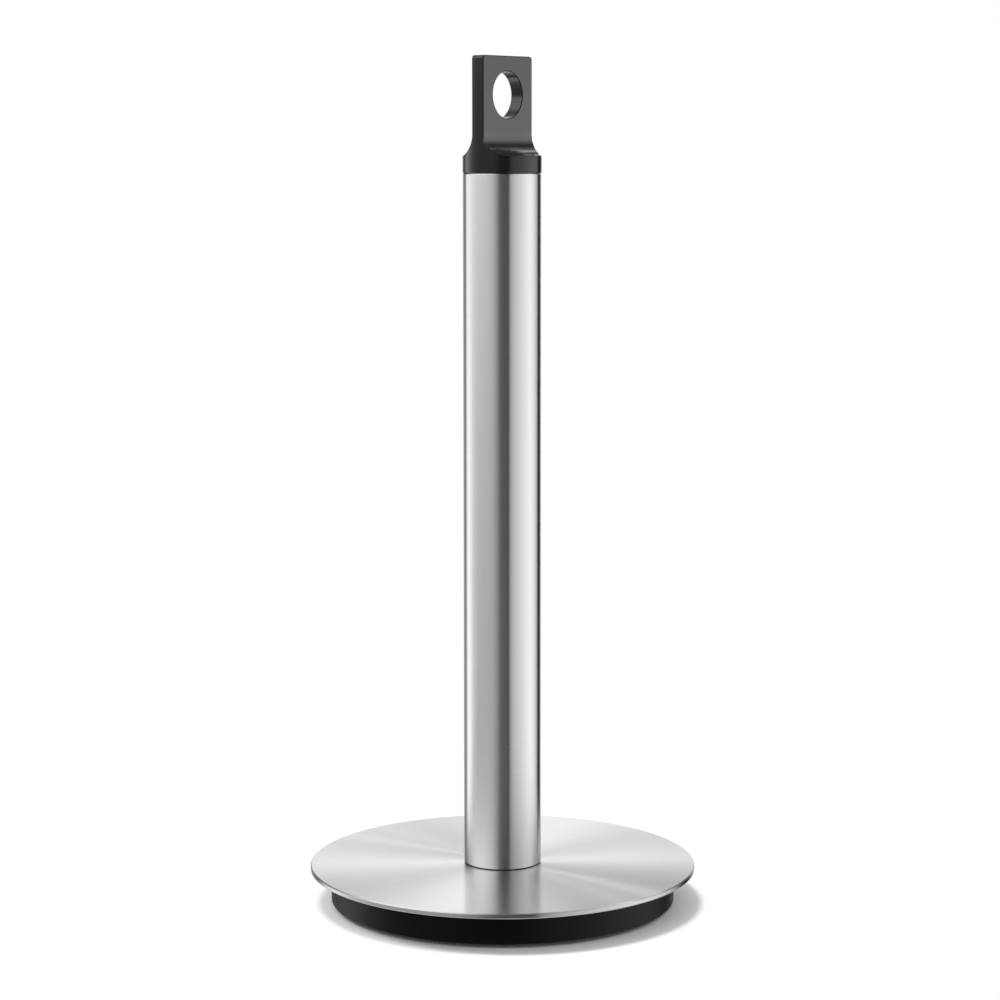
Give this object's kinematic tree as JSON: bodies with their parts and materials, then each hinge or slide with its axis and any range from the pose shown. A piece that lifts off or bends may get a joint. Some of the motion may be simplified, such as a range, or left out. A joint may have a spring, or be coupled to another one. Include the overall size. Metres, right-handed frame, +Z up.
{
  "type": "paper towel holder",
  "caption": "Free-standing paper towel holder: weighted round foot under a brushed steel plate, an upright steel tube, and a black cap with a finger eye.",
  "frame": {"origin": "on the table under the tube's axis, at the underside of the rubber foot ring", "axes": "+Z up along the tube, +X across the flat eye of the cap, +Y through the hole in the eye"},
  "size_m": [0.15, 0.15, 0.327],
  "materials": {
    "cap_plastic": "satin black moulded plastic",
    "insert_brass": "knurled turned brass",
    "seal_rubber": "matt black rubber",
    "zinc_steel": "bright zinc-plated steel",
    "tube_steel": "fine brushing round the tube",
    "bush_plastic": "plain moulded plastic",
    "plate_steel": "brushed in circles about the tube, bright edge",
    "pad_foam": "thin closed-cell foam",
    "ballast_iron": "dark coated casting",
    "housing_plastic": "matt black moulded plastic",
    "foot_rubber": "soft matt rubber"
  },
  "bodies": {
    "root": {"eye_cap": "cap_plastic", "cap_insert": "insert_brass", "cap_o_ring": "seal_rubber", "rod_lock_nut": "zinc_steel", "tie_rod": "zinc_steel", "pole_tube": "tube_steel", "tube_bush": "bush_plastic", "tube_gasket": "seal_rubber", "base_plate": "plate_steel", "plate_pad": "pad_foam", "ballast": "ballast_iron", "base_housing": "housing_plastic", "foot_ring": "foot_rubber", "clamp_washer": "zinc_steel", "lock_washer": "zinc_steel", "clamp_nut": "zinc_steel", "housing_screw_1": "zinc_steel", "housing_screw_2": "zinc_steel", "housing_screw_3": "zinc_steel", "housing_screw_4": "zinc_steel"}
  },
  "joints": []
}
